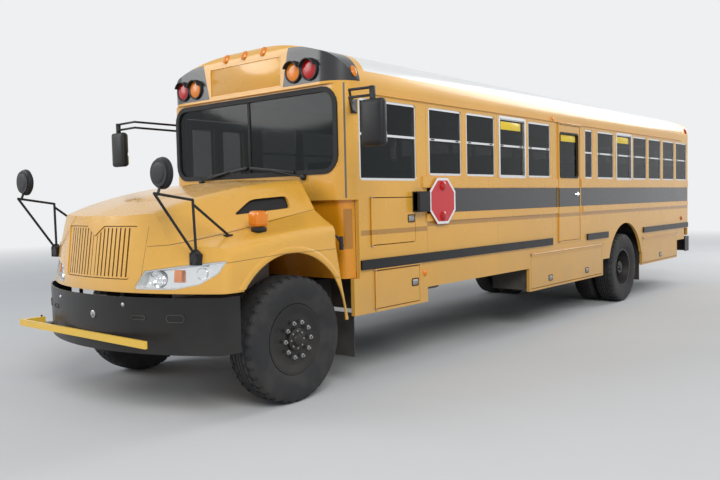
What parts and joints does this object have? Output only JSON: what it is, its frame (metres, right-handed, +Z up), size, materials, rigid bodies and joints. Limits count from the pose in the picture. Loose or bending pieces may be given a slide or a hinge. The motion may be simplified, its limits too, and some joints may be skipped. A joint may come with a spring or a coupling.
{
  "type": "school bus",
  "caption": "Full-size yellow school bus with a tilting nose, steered front wheels, twin rear wheels, hollow seated body, opening doors, stop arm and crossing arm.",
  "frame": {"origin": "on the ground, below the middle of the bounding box", "axes": "+X forward, +Y to the bus's left, +Z up"},
  "size_m": [11.479, 3.74, 3.075],
  "materials": {
    "aluminium": "anodised",
    "bare_steel": "dull steel",
    "black_paint": "satin black paint",
    "black_rubber": "matt",
    "bus_yellow": "gloss paint, school bus yellow",
    "cabin_plastic": "grained",
    "chassis_black": "matt black paint",
    "lamp_lens": "coloured lens",
    "red_plate": "red reflective sheet",
    "roof_white": "gloss white paint",
    "seat_vinyl": "dark green vinyl",
    "tyre_rubber": "matt",
    "window_glass": "lightly tinted"
  },
  "bodies": {
    "body": {"roof": "roof_white", "front_cap": "bus_yellow", "rear_cap": "bus_yellow", "front_wall": "bus_yellow", "side_wall_left": "bus_yellow", "side_wall_right": "bus_yellow", "rear_wall": "bus_yellow", "floor": "bus_yellow", "floor_sills": "bus_yellow", "holds": "chassis_black", "chassis_frame": "chassis_black", "engine": "bare_steel", "radiator": "black_paint", "fuel_tank": "chassis_black", "exhaust": "bare_steel", "driveline": "chassis_black", "front_axle": "chassis_black", "leaf_springs": "chassis_black", "front_bumper": "black_paint", "rear_bumper": "black_paint", "window_sashes": "aluminium", "body_glass": "window_glass", "rub_rails": "black_paint", "body_rails": "bus_yellow", "stop_arm_base": "black_paint", "body_lamps": "lamp_lens", "side_mirrors": "black_paint", "door_hinges": "bare_steel", "wipers": "black_paint", "mud_flaps": "black_rubber", "seats": "seat_vinyl", "dashboard": "cabin_plastic"},
    "nose": {"hood": "bus_yellow", "grille": "bus_yellow", "nose_lamps": "lamp_lens", "crossover_mirrors": "black_paint"},
    "knuckle_left": {"knuckle_left": "chassis_black"},
    "knuckle_right": {"knuckle_right": "chassis_black"},
    "wheel_front_left": {"tyre_front_left": "tyre_rubber", "rim_front_left": "black_paint"},
    "wheel_front_right": {"tyre_front_right": "tyre_rubber", "rim_front_right": "black_paint"},
    "wheels_rear_left": {"tyres_rear_left": "tyre_rubber", "rims_rear_left": "black_paint"},
    "wheels_rear_right": {"tyres_rear_right": "tyre_rubber", "rims_rear_right": "black_paint"},
    "side_exit": {"side_exit_door": "bus_yellow", "side_exit_glass": "window_glass"},
    "entry_front": {"entry_leaf_front": "bus_yellow", "entry_glass_front": "window_glass"},
    "entry_rear": {"entry_leaf_rear": "bus_yellow", "entry_glass_rear": "window_glass"},
    "rear_exit": {"rear_exit_door": "bus_yellow", "rear_exit_glass": "window_glass"},
    "battery_door": {"battery_door": "bus_yellow"},
    "service_hatch": {"service_hatch": "bus_yellow"},
    "luggage_door": {"luggage_door": "bus_yellow"},
    "tail_hold_door": {"tail_hold_door": "bus_yellow"},
    "stop_arm": {"stop_arm": "red_plate"},
    "crossing_arm": {"crossing_arm": "bus_yellow"}
  },
  "joints": [
    {"name": "hood_tilt", "type": "hinge", "parent": "body", "child": "nose", "pos_m": [5.6, 0, 0.985], "axis": [0, 1, 0], "range_deg": [0, 75]},
    {"name": "steer_left", "type": "hinge", "parent": "body", "child": "knuckle_left", "pos_m": [4.54, 0.86, 0.515], "axis": [0, 0, 1], "range_deg": [-35, 35]},
    {"name": "steer_right", "type": "hinge", "parent": "body", "child": "knuckle_right", "pos_m": [4.54, -0.86, 0.515], "axis": [0, 0, 1], "range_deg": [-35, 35]},
    {"name": "wheel_front_left_spin", "type": "hinge", "parent": "knuckle_left", "child": "wheel_front_left", "pos_m": [4.54, 1.042, 0.515], "axis": [0, 1, 0], "continuous": true},
    {"name": "wheel_front_right_spin", "type": "hinge", "parent": "knuckle_right", "child": "wheel_front_right", "pos_m": [4.54, -1.042, 0.515], "axis": [0, 1, 0], "continuous": true},
    {"name": "wheels_rear_left_spin", "type": "hinge", "parent": "body", "child": "wheels_rear_left", "pos_m": [-2.47, 0.885, 0.515], "axis": [0, 1, 0], "continuous": true},
    {"name": "wheels_rear_right_spin", "type": "hinge", "parent": "body", "child": "wheels_rear_right", "pos_m": [-2.47, -0.885, 0.515], "axis": [0, 1, 0], "continuous": true},
    {"name": "side_exit_hinge", "type": "hinge", "parent": "body", "child": "side_exit", "pos_m": [-0.144, 1.231, 1.78], "axis": [0, 0, -1], "range_deg": [0, 110]},
    {"name": "entry_front_hinge", "type": "hinge", "parent": "body", "child": "entry_front", "pos_m": [3.766, -1.231, 1.45], "axis": [0, 0, 1], "range_deg": [0, 88]},
    {"name": "entry_rear_hinge", "type": "hinge", "parent": "body", "child": "entry_rear", "pos_m": [2.934, -1.231, 1.45], "axis": [0, 0, -1], "range_deg": [0, 88]},
    {"name": "rear_exit_hinge", "type": "hinge", "parent": "body", "child": "rear_exit", "pos_m": [-5.592, -0.486, 1.78], "axis": [0, 0, 1], "range_deg": [0, 110]},
    {"name": "battery_door_hinge", "type": "hinge", "parent": "body", "child": "battery_door", "pos_m": [3.591, 1.231, 0.81], "axis": [0, 0, -1], "range_deg": [0, 110]},
    {"name": "service_hatch_hinge", "type": "hinge", "parent": "body", "child": "service_hatch", "pos_m": [3.631, 1.231, 1.43], "axis": [0, 0, -1], "range_deg": [0, 110]},
    {"name": "luggage_door_hinge", "type": "hinge", "parent": "body", "child": "luggage_door", "pos_m": [-0.465, 1.231, 0.926], "axis": [1, 0, 0], "range_deg": [0, 95]},
    {"name": "tail_hold_door_hinge", "type": "hinge", "parent": "body", "child": "tail_hold_door", "pos_m": [-4.02, 1.231, 0.926], "axis": [1, 0, 0], "range_deg": [0, 95]},
    {"name": "stop_arm_hinge", "type": "hinge", "parent": "body", "child": "stop_arm", "pos_m": [2.788, 1.251, 1.598], "axis": [0, 0, -1], "range_deg": [0, 90]},
    {"name": "crossing_arm_hinge", "type": "hinge", "parent": "body", "child": "crossing_arm", "pos_m": [5.55, -1.01, 0.6275], "axis": [0, 0, -1], "range_deg": [0, 90]}
  ],
  "couplings": [
    {"joint": "steer_right", "follows": "steer_left", "ratio": 1},
    {"joint": "entry_rear_hinge", "follows": "entry_front_hinge", "ratio": 1}
  ]
}
